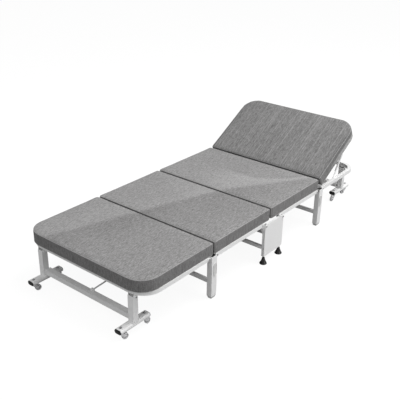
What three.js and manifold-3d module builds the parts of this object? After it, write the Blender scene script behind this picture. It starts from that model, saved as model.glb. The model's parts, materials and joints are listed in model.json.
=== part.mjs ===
// A four-section folding guest bed on castors, with a tilting backrest and a drop-down centre stand.
// Millimetres, +Z up. The origin is on the floor under the middle seam, +X points to the head end.
// Most parts are drawn for the head half (+X, +Y) and mirrored for the foot half and the other side.
import * as THREE from "three";
import { mergeVertices } from "three/addons/utils/BufferGeometryUtils.js";
import Module from "manifold-3d";

const wasm = await Module();
wasm.setup();

// ---------------------------------------------------------------- driving dimensions
const WALL = 1.5; // steel tube wall
const GAP = 0.3; // between pieces that rest on each other

// Mattress: four foam pads, all with the same top and bottom.
const PAD_TOP = 286;
const PAD_HALF = 375;
const PAD_CORNER = 95; // plan radius at the foot and head corners
const PAD_SPLIT = 1.5; // each pad stops this far short of its seam
const SEAM_FOOT = 465; // seam between the foot pad and its neighbour
const SEAM_HEAD = 462; // seam between the middle pad and the backrest pad
const PAD_END = 925; // foot end of the mattress

// Section frames: square tube with the mattress resting on top.
const RAIL = 20;
const RAIL_TOP = 225;
const RAIL_OUT = 378;
const RAIL_IN = RAIL_OUT - RAIL;
const PIVOT_Z = RAIL_TOP - RAIL / 2;
const FRAME_END = 912;
const FRAME_CORNER = 95;
const SLAT_W = 30;
const SLAT_T = 3;
const SLAT_TOP = 217;
const INNER_SLATS = [112, 262, 412];
const FOOT_SLATS = [545, 645, 745, 838];
const BACK_SLATS = [40, 130, 230, 322]; // from the backrest's hinge
const BOARD_HALF = 354;
const BOARD_TOP = RAIL_TOP - GAP;
const BOARD_BOTTOM = SLAT_TOP + GAP;
const BOARD_CORNER = 72;

// Hinges of the fold, each on a bolt across the bed.
const STAND_PIVOT = 75;
const LEG_X = 475;
const LEG_PIVOT = 29; // each side of the middle leg's centre
const IN_PIVOT = LEG_X - LEG_PIVOT;
const OUT_PIVOT = LEG_X + LEG_PIVOT;
const END_PIVOT = 899;
const END_PIVOT_Z = 188;
const BOLT_R = 4;
const BOLT_CLEAR = 0.3;
const LINK_BOLT_R = 3;
const LINK_NUT_R = 5.5;
const STRUT_BOLT_R = 3;
const AXLE_R = 3;
const HEAD_R = 7;
const HEAD_T = 3.4; // bolt head thickness
const HEAD_CLEAR = 0.6; // between a bolt head and the tube that turns under it
const RIM = 1; // how far a welded piece reaches into its neighbour

// Middle legs.
const LEG_W = 36;
const LEG_OUT = 388;
const LEG_IN = 360;
const LEG_TOP = 224;
const TIP_TOP = 14;
const LEG_BAR = { x0: 462, x1: 478, z0: 70, z1: 88 };
const HINGE_PLATE = { y0: RAIL_IN - 3, y1: RAIL_IN - 0.5, r: 9 };
const PLATE_BLOCK = { z0: 207, z1: 223 }; // packing between a hinge plate and its leg
const KEEPER = { x: LEG_X - 4, low: 132, high: 176, r: 10, inner: 7.5, t: 3, recess: 1.5 };

// Centre stand.
const STAND_TUBE = { x0: 58, x1: 80, y0: 378.8, y1: 393, z0: 45, z1: 222 };
const COVER_T = 2;
const COVER_HALF = 81;
const COVER_CORNER = 18;
const SIDE_BEAMS = [
  [196, 216],
  [60, 76],
];
const TIE = { x0: 61, x1: 77, z0: 82, z1: 98 };
const GUSSET = { t: 3, top: 199, low: 162, inner: 352 };
const STEM_R = 4.8;
const STEM_NUT = { half: 11, halfY: 7, h: 4, bore: 5.2 };

// End legs: a flat-oval foot rail under each upright, with a castor near each end.
const FOOT_RAIL = { x0: END_PIVOT - 87, x1: END_PIVOT + 87, y: 286, w: 40, h: 22, z0: 40 };
const UPRIGHT = { w: 30, y0: 276, y1: 306 };
const END_BAR = { x0: 876, x1: 906, z0: 66, z1: 90 };
const CASTOR_SPREAD = 70;

// Link rods that keep the end legs upright; their pivots repeat the frame's pivots, moved by this much.
const LINK_SHIFT = { x: -16, z: -90 };
const LINK_FROM = { x: OUT_PIVOT + LINK_SHIFT.x, z: PIVOT_Z + LINK_SHIFT.z };
const LINK_TO = { x: END_PIVOT + LINK_SHIFT.x, z: END_PIVOT_Z + LINK_SHIFT.z };
const LINK_ROD_R = 3.5;
const LINK_EYE = { r: 7, half: 3 };
// The link rods run a little to the right of the middle line.
const LINK_Y = -26;

// Castors.
const WHEEL_R = 15;
const WHEEL_HALF = 6.5;
const TRAIL = 19;
const SWIVEL_PLATE = { r: 11, t: 6 };
const SWIVEL_NUT = { r: 6.5, t: 3 };
const PRONG = { x: 1, z: 32.5, r: 6, y0: 7.2, y1: 9.4 };

// Backrest, drawn flat around its own hinge and then tilted.
const HINGE_X = 481;
const HINGE_Z = 215;
const TILT = THREE.MathUtils.degToRad(30);
const BACK_HALF = 350;
const BACK_END = 403;
const BACK_CORNER = 70;
const BACK_TUBE = 16;
const STRUT_L = { x: 658, z: 211 }; // strut pivot on the head frame
const STRUT_U = { a: 339, b: -4 }; // strut pivot on the backrest, from the backrest's hinge
const STRUT_LONG = 150;
const STRUT_HALF = 7;
const STRUT_LOW = { y0: 354.2, y1: 357.4 }; // the two bars of a strut lie side by side
const STRUT_UP = { y0: 350.5, y1: 353.6 };
const BACK_LUG = { y0: 351, y1: 354.5, far: 530, r: 8, z0: 209, z1: 221 };
const BACK_ARM = { long: 34, r: 8, t: 4.5 };

// ---------------------------------------------------------------- solids
// A closed three.js geometry as a manifold-3d solid.
function solid(geometry) {
  geometry.deleteAttribute("normal");
  geometry.deleteAttribute("uv");
  const merged = mergeVertices(geometry, 1e-3);
  const mesh = new wasm.Mesh({
    numProp: 3,
    vertProperties: new Float32Array(merged.attributes.position.array),
    triVerts: new Uint32Array(merged.index.array),
  });
  return new wasm.Manifold(mesh);
}

function box(x0, x1, y0, y1, z0, z1) {
  const g = new THREE.BoxGeometry(x1 - x0, y1 - y0, z1 - z0);
  return solid(g.translate((x0 + x1) / 2, (y0 + y1) / 2, (z0 + z1) / 2));
}

// The same box on the +Y side and the -Y side.
function boxPair(x0, x1, y0, y1, z0, z1) {
  return box(x0, x1, y0, y1, z0, z1).add(box(x0, x1, -y1, -y0, z0, z1));
}

// Cylinder along Y through (x, z).
function pinY(x, z, r, y0, y1, sides = 8) {
  const g = new THREE.CylinderGeometry(r, r, y1 - y0, sides);
  return solid(g.translate(x, (y0 + y1) / 2, z));
}

function pinPairY(x, z, r, y0, y1, sides = 8) {
  return pinY(x, z, r, y0, y1, sides).add(pinY(x, z, r, -y1, -y0, sides));
}

// Radius for an eight-sided hole whose flats clear a round bolt of radius r.
function holeRadius(r) {
  return (r + BOLT_CLEAR) / Math.cos(Math.PI / 8);
}

// Cylinder along Z through (x, y).
function pinZ(x, y, r, z0, z1, sides = 8) {
  const g = new THREE.CylinderGeometry(r, r, z1 - z0, sides);
  return solid(g.rotateX(Math.PI / 2).translate(x, y, (z0 + z1) / 2));
}

function extruded(shape, depth, segments) {
  return new THREE.ExtrudeGeometry(shape, {
    depth,
    bevelEnabled: false,
    curveSegments: segments,
  });
}

// A plan outline (x, y) raised from z0 to z1.
function plan(shape, z0, z1, segments = 6) {
  return solid(extruded(shape, z1 - z0, segments).translate(0, 0, z0));
}

// A side outline (x, z) carried across the bed from y0 to y1.
function side(shape, y0, y1, segments = 4) {
  return solid(
    extruded(shape, y1 - y0, segments).rotateX(Math.PI / 2).translate(0, y1, 0),
  );
}

function sidePair(shape, y0, y1, segments = 4) {
  return side(shape, y0, y1, segments).add(side(shape, -y1, -y0, segments));
}

// An end outline (y, z) carried along the bed from x0 to x1.
function end(shape, x0, x1, segments = 5) {
  const turn = new THREE.Matrix4().makeBasis(
    new THREE.Vector3(0, 1, 0),
    new THREE.Vector3(0, 0, 1),
    new THREE.Vector3(1, 0, 0),
  );
  return solid(
    extruded(shape, x1 - x0, segments).applyMatrix4(turn).translate(x0, 0, 0),
  );
}

// ---------------------------------------------------------------- outlines
// Two discs and the straight sides between them; with equal discs it is an obround.
function capsule(u0, v0, r0, u1 = u0, v1 = v0, r1 = r0) {
  const along = Math.atan2(v1 - v0, u1 - u0);
  const apart = Math.hypot(u1 - u0, v1 - v0);
  const lean = apart > 0 ? Math.acos((r0 - r1) / apart) : Math.PI / 2;
  const s = new THREE.Shape();
  s.absarc(u1, v1, r1, along - lean, along + lean, false);
  s.absarc(u0, v0, r0, along + lean, along - lean + 2 * Math.PI, false);
  s.closePath();
  return s;
}

// A rectangle symmetric about v = 0 with its two far corners (at u1) rounded.
function tongue(u0, u1, half, r) {
  const s = new THREE.Shape();
  s.moveTo(u0, -half);
  s.lineTo(u1 - r, -half);
  s.absarc(u1 - r, -half + r, r, -Math.PI / 2, 0, false);
  s.absarc(u1 - r, half - r, r, 0, Math.PI / 2, false);
  s.lineTo(u0, half);
  s.closePath();
  return s;
}

// A U of bent tube in plan: two rails from u0, joined by a rounded end at u1.
function bentTube(u0, u1, half, width, r, z0, z1) {
  const outer = plan(tongue(u0, u1, half, r), z0, z1, 5);
  const inner = plan(
    tongue(u0 - 1, u1 - width, half - width, r - width),
    z0 - 1,
    z1 + 1,
    5,
  );
  return outer.subtract(inner);
}

// Side view of a rail whose near end (or both ends) is rounded about its pivot.
function railOutline(u0, u1, roundFar) {
  const r = RAIL / 2;
  const s = new THREE.Shape();
  s.absarc(u0, PIVOT_Z, r, Math.PI / 2, Math.PI * 1.5, false);
  if (roundFar) {
    s.absarc(u1, PIVOT_Z, r, -Math.PI / 2, Math.PI / 2, false);
  } else {
    s.lineTo(u1, PIVOT_Z - r);
    s.lineTo(u1, PIVOT_Z + r);
  }
  s.closePath();
  return s;
}

// ---------------------------------------------------------------- materials
function finish(color, roughness, metalness) {
  return { color, roughness, metalness };
}
const WHITE_STEEL = finish(0xe9e9e9, 0.4, 0.1);
const WHITE_PLASTIC = finish(0xdedede, 0.5, 0);
const BLACK_PLASTIC = finish(0x141414, 0.45, 0);
const GREY_FABRIC = finish(0x8b8b8d, 0.95, 0);
const PLYWOOD = finish(0xb99a6b, 0.7, 0);
const CLEAR_PLASTIC = finish(0xc9cbcb, 0.3, 0);

const bed = new THREE.Group();
const headHalf = new THREE.Group();
const footHalf = new THREE.Group();
footHalf.scale.x = -1;
const backrest = new THREE.Group();
backrest.position.set(HINGE_X, 0, HINGE_Z);
backrest.rotation.y = -TILT;
bed.add(headHalf, footHalf, backrest);

function addPart(group, name, shape, look) {
  const raw = shape.getMesh();
  const g = new THREE.BufferGeometry();
  g.setAttribute("position", new THREE.BufferAttribute(raw.vertProperties, 3));
  g.setIndex(new THREE.BufferAttribute(raw.triVerts, 1));
  const material = new THREE.MeshStandardMaterial({ ...look, flatShading: true });
  const mesh = new THREE.Mesh(g, material);
  mesh.name = name;
  group.add(mesh);
  return mesh;
}

// ---------------------------------------------------------------- section frames
// Flat steel slats welded between the rails, under the board.
function addSlats(frame, places) {
  let slatted = frame;
  for (const x of places) {
    const half = SLAT_W / 2;
    const reach = RAIL_IN + WALL / 2;
    slatted = slatted.add(
      box(x - half, x + half, -reach, reach, SLAT_TOP - SLAT_T, SLAT_TOP),
    );
  }
  return slatted;
}

// Straight section between the centre stand and a middle leg.
function innerFrame() {
  const rails = sidePair(railOutline(STAND_PIVOT, IN_PIVOT, true), RAIL_IN, RAIL_OUT);
  const railHollow = boxPair(
    STAND_PIVOT - RAIL,
    IN_PIVOT + RAIL,
    RAIL_IN + WALL,
    RAIL_OUT - WALL,
    RAIL_TOP - RAIL + WALL,
    RAIL_TOP - WALL,
  );
  let frame = addSlats(rails.subtract(railHollow), INNER_SLATS);
  for (const x of [STAND_PIVOT, IN_PIVOT]) {
    const hole = pinPairY(x, PIVOT_Z, holeRadius(BOLT_R), RAIL_IN - 2, RAIL_OUT + 2);
    frame = frame.subtract(hole);
  }
  return frame;
}

// Two plates and a through bolt that hang the end leg from the frame's end tube.
function endHanger(y0, y1) {
  const ear = new THREE.Shape();
  const r = 9;
  ear.absarc(END_PIVOT, END_PIVOT_Z, r, Math.PI, 2 * Math.PI, false);
  ear.lineTo(END_PIVOT + r, RAIL_TOP - RAIL + 1);
  ear.lineTo(END_PIVOT - r, RAIL_TOP - RAIL + 1);
  ear.closePath();
  const thick = 2.5;
  const bite = 0.5; // how far a head reaches into its ear
  const low = y0 - HEAD_CLEAR - thick;
  const high = y1 + HEAD_CLEAR + thick;
  const ears = side(ear, low, low + thick).add(side(ear, high - thick, high));
  return ears
    .add(pinY(END_PIVOT, END_PIVOT_Z, BOLT_R, low - 1, high + 1))
    .add(pinY(END_PIVOT, END_PIVOT_Z, HEAD_R, low - 3, low + bite, 6))
    .add(pinY(END_PIVOT, END_PIVOT_Z, HEAD_R, high - bite, high + 2.5));
}

// U-shaped end section, with the hangers of its end leg.
function endFrame(slatPlaces) {
  const z0 = RAIL_TOP - RAIL;
  const start = OUT_PIVOT - RAIL / 2;
  const outline = railOutline(OUT_PIVOT, FRAME_END + 5, false);
  let outer = bentTube(start, FRAME_END, RAIL_OUT, RAIL, FRAME_CORNER, z0, RAIL_TOP);
  outer = outer.intersect(side(outline, -RAIL_OUT - 1, RAIL_OUT + 1));
  const hollow = bentTube(
    start - 5,
    FRAME_END - WALL,
    RAIL_OUT - WALL,
    RAIL - 2 * WALL,
    FRAME_CORNER - WALL,
    z0 + WALL,
    RAIL_TOP - WALL,
  );
  const frame = addSlats(outer.subtract(hollow), slatPlaces);
  const hole = pinPairY(OUT_PIVOT, PIVOT_Z, holeRadius(BOLT_R), RAIL_IN - 2, RAIL_OUT + 2);
  return frame
    .subtract(hole)
    .add(endHanger(UPRIGHT.y0, UPRIGHT.y1))
    .add(endHanger(-UPRIGHT.y1, -UPRIGHT.y0));
}

// The head frame also carries the backrest's hinge lugs and the lower strut pins.
function headFrame() {
  const lug = BACK_LUG;
  const plate = capsule(HINGE_X, HINGE_Z, lug.r, lug.far - lug.r, HINGE_Z, lug.r);
  const arm = BACK_HALF - BACK_ARM.t - 0.5; // inner face of the backrest's hinge arm, less a gap
  return endFrame([])
    .add(sidePair(plate, lug.y0, lug.y1))
    .add(boxPair(lug.far - 14, lug.far - 4, lug.y1 - RIM, RAIL_IN + RIM, lug.z0, lug.z1))
    .add(pinPairY(HINGE_X, HINGE_Z, BOLT_R, arm - RIM, lug.y0 + RIM))
    .add(pinPairY(HINGE_X, HINGE_Z, HEAD_R, arm - HEAD_CLEAR - HEAD_T, arm - HEAD_CLEAR))
    .add(pinPairY(STRUT_L.x, STRUT_L.z, STRUT_BOLT_R, STRUT_LOW.y0, RAIL_IN + RIM));
}

// ---------------------------------------------------------------- boards and pads
function innerBoard() {
  const inner = 8; // reaches past the hinge to the middle seam
  const outer = IN_PIVOT - 8;
  return box(inner, outer, -BOARD_HALF, BOARD_HALF, BOARD_BOTTOM, BOARD_TOP);
}

function endBoard() {
  const outline = tongue(OUT_PIVOT + 12, FRAME_END - RAIL - 1, BOARD_HALF, BOARD_CORNER);
  return plan(outline, BOARD_BOTTOM, BOARD_TOP, 5);
}

// The inner end of a middle pad swings past its twin, so it is rounded about the stand's bolt.
function innerPad(seam) {
  const bottom = RAIL_TOP + GAP;
  const reach = STAND_PIVOT - 1;
  const low = Math.asin((bottom - PIVOT_Z) / reach);
  const high = Math.asin((PAD_TOP - PIVOT_Z) / reach);
  const s = new THREE.Shape();
  s.moveTo(seam - PAD_SPLIT, bottom);
  s.lineTo(seam - PAD_SPLIT, PAD_TOP);
  s.absarc(STAND_PIVOT, PIVOT_Z, reach, Math.PI - high, Math.PI - low, false);
  s.closePath();
  return side(s, -PAD_HALF, PAD_HALF, 8);
}

function footPad() {
  const outline = tongue(SEAM_FOOT + PAD_SPLIT, PAD_END, PAD_HALF, PAD_CORNER);
  return plan(outline, RAIL_TOP + GAP, PAD_TOP, 6);
}

// ---------------------------------------------------------------- middle legs
// A lug on the side of a cross bar, with the bolt that a link rod turns on.
function linkLug(fromX, fromZ, at) {
  const r = LINK_EYE.r;
  const near = LINK_EYE.half + 1;
  return side(capsule(fromX, fromZ, r, at.x, at.z, r), near, near + 3, 5)
    .add(pinY(at.x, at.z, LINK_BOLT_R, -near - 1, near + 1))
    .add(pinY(at.x, at.z, LINK_NUT_R, -near - 3.5, -near - 0.5, 6))
    .translate([0, LINK_Y, 0]);
}

function middleLeg() {
  const x0 = LEG_X - LEG_W / 2;
  const x1 = LEG_X + LEG_W / 2;
  const bar = LEG_BAR;
  const legs = boxPair(x0, x1, LEG_IN, LEG_OUT, TIP_TOP, LEG_TOP);
  const cross = box(bar.x0, bar.x1, -LEG_IN - 1, LEG_IN + 1, bar.z0, bar.z1);
  const legHollow = boxPair(
    x0 + WALL,
    x1 - WALL,
    LEG_IN + WALL,
    LEG_OUT - WALL,
    TIP_TOP - 5,
    LEG_TOP + 5,
  );
  const barHollow = box(
    bar.x0 + WALL,
    bar.x1 - WALL,
    -LEG_IN - 3,
    LEG_IN + 3,
    bar.z0 + WALL,
    bar.z1 - WALL,
  );
  const plate = HINGE_PLATE;
  const block = PLATE_BLOCK;
  let frame = legs
    .add(cross)
    .subtract(legHollow)
    .subtract(barHollow)
    .add(sidePair(capsule(IN_PIVOT, PIVOT_Z, plate.r, OUT_PIVOT, PIVOT_Z), plate.y0, plate.y1))
    .add(boxPair(x0 + 2, x1 - 2, plate.y1 - RIM, LEG_IN + 0.5, block.z0, block.z1));
  const headInner = RAIL_OUT + HEAD_CLEAR;
  for (const x of [IN_PIVOT, OUT_PIVOT]) {
    frame = frame
      .add(pinPairY(x, PIVOT_Z, BOLT_R, plate.y1 - RIM, RAIL_OUT + 2))
      .add(pinPairY(x, PIVOT_Z, HEAD_R, headInner, headInner + HEAD_T));
  }
  return frame.add(linkLug((bar.x0 + bar.x1) / 2, bar.z1, LINK_FROM));
}

// Tapered plastic foot pushed into the bottom of a middle leg.
function legTip() {
  const half = { x: LEG_W / 2, y: (LEG_OUT - LEG_IN) / 2 };
  const mid = (LEG_OUT + LEG_IN) / 2;
  const taper = 5;
  const across = new THREE.Shape([
    new THREE.Vector2(mid - half.y + taper, 0),
    new THREE.Vector2(mid + half.y - taper, 0),
    new THREE.Vector2(mid + half.y, TIP_TOP - GAP),
    new THREE.Vector2(mid - half.y, TIP_TOP - GAP),
  ]);
  const along = new THREE.Shape([
    new THREE.Vector2(LEG_X - half.x + taper, 0),
    new THREE.Vector2(LEG_X + half.x - taper, 0),
    new THREE.Vector2(LEG_X + half.x, TIP_TOP - GAP),
    new THREE.Vector2(LEG_X - half.x, TIP_TOP - GAP),
  ]);
  const inside = WALL + GAP;
  const plug = 24; // length pushed up into the leg
  const tip = end(across, LEG_X - half.x, LEG_X + half.x);
  return tip
    .intersect(side(along, LEG_IN, LEG_OUT))
    .add(
      box(
        LEG_X - half.x + inside,
        LEG_X + half.x - inside,
        LEG_IN + inside,
        LEG_OUT - inside,
        TIP_TOP - RIM,
        TIP_TOP + plug,
      ),
    );
}

// Obround keeper plate with a raised rim, on the outer face of a middle leg.
function keeperPlate() {
  const k = KEEPER;
  const y = LEG_OUT + GAP;
  const rim = side(capsule(k.x, k.low, k.r, k.x, k.high), y, y + k.t);
  return rim.subtract(side(capsule(k.x, k.low, k.inner, k.x, k.high), y + k.recess, y + k.t + 1));
}

function linkRod() {
  const dx = LINK_TO.x - LINK_FROM.x;
  const dz = LINK_TO.z - LINK_FROM.z;
  const long = Math.hypot(dx, dz);
  const bar = new THREE.CylinderGeometry(LINK_ROD_R, LINK_ROD_R, long - 10, 10);
  bar.rotateZ(-Math.PI / 2).rotateY(Math.atan2(-dz, dx));
  bar.translate(LINK_FROM.x + dx / 2, 0, LINK_FROM.z + dz / 2);
  let rod = solid(bar);
  const eye = LINK_EYE;
  for (const p of [LINK_FROM, LINK_TO]) {
    rod = rod.add(pinY(p.x, p.z, eye.r, -eye.half, eye.half));
  }
  for (const p of [LINK_FROM, LINK_TO]) {
    const bore = pinY(p.x, p.z, holeRadius(LINK_BOLT_R), -eye.half - 2, eye.half + 2);
    rod = rod.subtract(bore);
  }
  return rod.translate([0, LINK_Y, 0]);
}

// ---------------------------------------------------------------- centre stand
function standFrame() {
  const t = STAND_TUBE;
  const posts = [-1, 1].map((s) => (s < 0 ? [-t.x1, -t.x0] : [t.x0, t.x1]));
  const tubes = [];
  const hollows = [];
  for (const [low, high] of SIDE_BEAMS) {
    tubes.push(boxPair(-t.x0 - RIM, t.x0 + RIM, t.y0, t.y1, low, high));
    hollows.push(
      boxPair(-t.x0 - 5, t.x0 + 5, t.y0 + WALL, t.y1 - WALL, low + WALL, high - WALL),
    );
  }
  for (const [x0, x1] of posts) {
    tubes.push(boxPair(x0, x1, t.y0, t.y1, t.z0, t.z1));
    hollows.push(
      boxPair(x0 + WALL, x1 - WALL, t.y0 + WALL, t.y1 - WALL, t.z0 - 5, t.z1 + 5),
    );
    const low = x0 < 0 ? -TIE.x1 : TIE.x0;
    const high = x0 < 0 ? -TIE.x0 : TIE.x1;
    tubes.push(box(low, high, -t.y0 - RIM, t.y0 + RIM, TIE.z0, TIE.z1));
    hollows.push(
      box(low + WALL, high - WALL, -t.y0 - 4, t.y0 + 4, TIE.z0 + WALL, TIE.z1 - WALL),
    );
  }
  const outer = tubes.reduce((sum, piece) => sum.add(piece));
  const hollow = hollows.reduce((sum, piece) => sum.add(piece));
  let frame = outer.subtract(hollow);
  const gusset = new THREE.Shape();
  gusset.moveTo(t.y0 + RIM, GUSSET.low);
  gusset.lineTo(t.y0 + RIM, GUSSET.top);
  gusset.lineTo(GUSSET.inner, GUSSET.top);
  gusset.quadraticCurveTo(t.y0 - 2.8, GUSSET.top - 5, t.y0 + RIM, GUSSET.low);
  for (const s of [-1, 1]) {
    const x0 = s < 0 ? -t.x1 : t.x1 - GUSSET.t;
    const plate = end(gusset, x0, x0 + GUSSET.t, 6);
    frame = frame.add(plate).add(plate.mirror([0, 1, 0]));
    const x = s * STAND_PIVOT;
    const foot = s * (t.x0 + t.x1) * 0.5;
    const footY = (t.y0 + t.y1) / 2;
    for (const q of [-1, 1]) {
      const n = STEM_NUT;
      const y = q * footY;
      const nut = box(foot - n.half, foot + n.half, y - n.halfY, y + n.halfY, t.z0, t.z0 + n.h);
      frame = frame.add(nut.subtract(pinZ(foot, y, n.bore, t.z0 - 1, t.z0 + n.h + 1)));
    }
    frame = frame
      .add(pinPairY(x, PIVOT_Z, BOLT_R, RAIL_IN - 1, t.y1 + 4))
      .add(pinPairY(x, PIVOT_Z, HEAD_R, RAIL_IN - 3.4, RAIL_IN - 0.6, 6))
      .add(pinPairY(x, PIVOT_Z, HEAD_R, t.y1 + 2.8, t.y1 + 6));
  }
  return frame;
}

function standCover() {
  const y = STAND_TUBE.y1 + GAP;
  const s = new THREE.Shape();
  const r = COVER_CORNER;
  const low = STAND_TUBE.z0 + 0.5;
  s.moveTo(COVER_HALF, STAND_TUBE.z1);
  s.lineTo(-COVER_HALF, STAND_TUBE.z1);
  s.absarc(-COVER_HALF + r, low + r, r, Math.PI, Math.PI * 1.5, false);
  s.absarc(COVER_HALF - r, low + r, r, -Math.PI / 2, 0, false);
  s.closePath();
  let plate = side(s, y, y + COVER_T);
  for (const x of [-STAND_PIVOT, STAND_PIVOT]) {
    plate = plate.subtract(pinY(x, PIVOT_Z, holeRadius(BOLT_R), y - 1, y + 4));
  }
  return plate;
}

// Cone foot on a threaded stem; the profile starts and ends on the axis.
function levellingFoot() {
  const profile = [
    [0, 0],
    [19, 0],
    [19, 4],
    [15.5, 8],
    [8.5, 26],
    [7, 29],
    [STEM_R, 29],
    [STEM_R, 80],
    [0, 80],
  ].map(([r, z]) => new THREE.Vector2(r, z));
  const g = new THREE.LatheGeometry(profile, 12);
  return solid(g.rotateX(Math.PI / 2));
}

// ---------------------------------------------------------------- end legs
function flatOval(trim) {
  const f = FOOT_RAIL;
  const r = f.h / 2 - trim;
  const mid = f.z0 + f.h / 2;
  const reach = f.w / 2 - f.h / 2;
  return capsule(f.y - reach, mid, r, f.y + reach, mid);
}

function endLeg() {
  const f = FOOT_RAIL;
  const half = UPRIGHT.w / 2;
  const low = f.z0 + f.h - 4;
  const upright = new THREE.Shape();
  upright.absarc(END_PIVOT, END_PIVOT_Z, half, 0, Math.PI, false);
  upright.lineTo(END_PIVOT - half, low);
  upright.lineTo(END_PIVOT + half, low);
  upright.closePath();
  const b = END_BAR;
  const rail = end(flatOval(0), f.x0, f.x1, 6);
  const railHollow = end(flatOval(WALL), f.x0 + 4, f.x1 + 5, 6);
  const postHollow = boxPair(
    END_PIVOT - half + WALL,
    END_PIVOT + half - WALL,
    UPRIGHT.y0 + WALL,
    UPRIGHT.y1 - WALL,
    low - 4,
    END_PIVOT_Z + half + 5,
  );
  const barHollow = box(
    b.x0 + WALL,
    b.x1 - WALL,
    -UPRIGHT.y0 - 4,
    UPRIGHT.y0 + 4,
    b.z0 + WALL,
    b.z1 - WALL,
  );
  let frame = rail
    .add(rail.mirror([0, 1, 0]))
    .add(sidePair(upright, UPRIGHT.y0, UPRIGHT.y1))
    .add(box(b.x0, b.x1, -UPRIGHT.y0 - 1, UPRIGHT.y0 + 1, b.z0, b.z1))
    .subtract(railHollow)
    .subtract(railHollow.mirror([0, 1, 0]))
    .subtract(postHollow)
    .subtract(barHollow);
  const hole = holeRadius(BOLT_R);
  frame = frame.subtract(
    pinPairY(END_PIVOT, END_PIVOT_Z, hole, UPRIGHT.y0 - 2, UPRIGHT.y1 + 2),
  );
  for (const x of [END_PIVOT - CASTOR_SPREAD, END_PIVOT + CASTOR_SPREAD]) {
    for (const y of [-f.y, f.y]) {
      frame = frame.subtract(pinZ(x, y, hole, f.z0 - 2, f.z0 + f.h + 2));
    }
  }
  return frame.add(linkLug(LINK_TO.x + 1, b.z1 - 3, LINK_TO));
}

function railPlug() {
  return end(flatOval(WALL + GAP), FOOT_RAIL.x1 - 10, FOOT_RAIL.x1 - 0.5, 6);
}

// ---------------------------------------------------------------- castors
// Both castor parts are drawn with the swivel axis at the origin and the wheel trailing along +X.
function castorFork() {
  const top = FOOT_RAIL.z0 - GAP;
  const nut = FOOT_RAIL.z0 + FOOT_RAIL.h + GAP;
  const prong = capsule(PRONG.x, PRONG.z, PRONG.r, TRAIL, WHEEL_R, PRONG.r - 1);
  const axleHalf = PRONG.y0 + 0.8;
  return pinZ(0, 0, SWIVEL_PLATE.r, top - SWIVEL_PLATE.t, top, 10)
    .add(pinZ(0, 0, BOLT_R, top - RIM, nut + RIM))
    .add(pinZ(0, 0, SWIVEL_NUT.r, nut, nut + SWIVEL_NUT.t, 6))
    .add(sidePair(prong, PRONG.y0, PRONG.y1, 3))
    .add(pinY(TRAIL, WHEEL_R, AXLE_R, -axleHalf, axleHalf));
}

function castorWheel() {
  const w = WHEEL_HALF;
  const bore = AXLE_R + BOLT_CLEAR;
  const profile = [
    [bore, -w],
    [WHEEL_R, -w],
    [WHEEL_R, w],
    [bore, w],
    [bore, -w],
  ].map(([r, y]) => new THREE.Vector2(r, y));
  const g = new THREE.LatheGeometry(profile, 14);
  return solid(g.translate(TRAIL, 0, WHEEL_R));
}

// ---------------------------------------------------------------- backrest
// Drawn flat, with the hinge bolt at the origin.
function backrestFrame() {
  const low = -RAIL / 2;
  const high = SLAT_TOP - HINGE_Z;
  const start = 12;
  const reach = BACK_HALF - BACK_TUBE + WALL / 2;
  const w = BACK_TUBE;
  const outer = bentTube(start, BACK_END, BACK_HALF, w, BACK_CORNER, low, high);
  const hollow = bentTube(
    start - 4,
    BACK_END - WALL,
    BACK_HALF - WALL,
    w - 2 * WALL,
    BACK_CORNER - WALL,
    low + WALL,
    high - WALL,
  );
  let frame = outer.subtract(hollow);
  for (const a of BACK_SLATS) {
    const half = SLAT_W / 2;
    frame = frame.add(box(a - half, a + half, -reach, reach, high - SLAT_T, high));
  }
  const arm = capsule(0, 0, BACK_ARM.r, BACK_ARM.long, 0, BACK_ARM.r);
  return frame
    .add(sidePair(arm, BACK_HALF - BACK_ARM.t, BACK_HALF))
    .subtract(pinPairY(0, 0, holeRadius(BOLT_R), BACK_HALF - 8, BACK_HALF + 2))
    .add(pinPairY(STRUT_U.a, STRUT_U.b, STRUT_BOLT_R, BACK_HALF - RIM, STRUT_UP.y1));
}

function backrestBoard() {
  const outline = tongue(48, BACK_END + 1, BACK_HALF - 1, BACK_CORNER - 5);
  return plan(outline, BOARD_BOTTOM - HINGE_Z, BOARD_TOP - HINGE_Z, 5);
}

// The inner end is cut back so that it clears the middle pad over the whole tilt.
function backrestPad() {
  const bottom = RAIL_TOP + GAP - HINGE_Z;
  const top = PAD_TOP - HINGE_Z;
  const far = 460;
  const start = { low: 4, high: 38 };
  const outline = new THREE.Shape([
    new THREE.Vector2(start.low, bottom),
    new THREE.Vector2(far, bottom),
    new THREE.Vector2(far, top),
    new THREE.Vector2(start.high, top),
  ]);
  const slab = side(outline, -PAD_HALF, PAD_HALF);
  return slab.intersect(plan(tongue(0, far, PAD_HALF, PAD_CORNER), bottom - 1, top + 1, 6));
}

// Flat strut bar along +X from its pivot hole, in one of two layers beside the frame.
function strutBar({ y0, y1 }) {
  return side(capsule(0, 0, STRUT_HALF, STRUT_LONG, 0), y0, y1, 5).subtract(
    pinY(0, 0, holeRadius(STRUT_BOLT_R), y0 - 1, y1 + 1),
  );
}

// ---------------------------------------------------------------- assembly
addPart(bed, "stand_frame", standFrame(), WHITE_STEEL);
for (const [label, s] of [
  ["left", 1],
  ["right", -1],
]) {
  addPart(bed, `stand_cover_${label}`, standCover(), WHITE_STEEL).scale.y = s;
}

const footX = (STAND_TUBE.x0 + STAND_TUBE.x1) / 2;
const footY = (STAND_TUBE.y0 + STAND_TUBE.y1) / 2;
for (const [halfName, sx] of [
  ["head", 1],
  ["foot", -1],
]) {
  for (const [label, sy] of [
    ["left", 1],
    ["right", -1],
  ]) {
    const name = `levelling_foot_${halfName}_${label}`;
    const part = addPart(bed, name, levellingFoot(), BLACK_PLASTIC);
    part.position.set(sx * footX, sy * footY, 0);
  }
}

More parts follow.
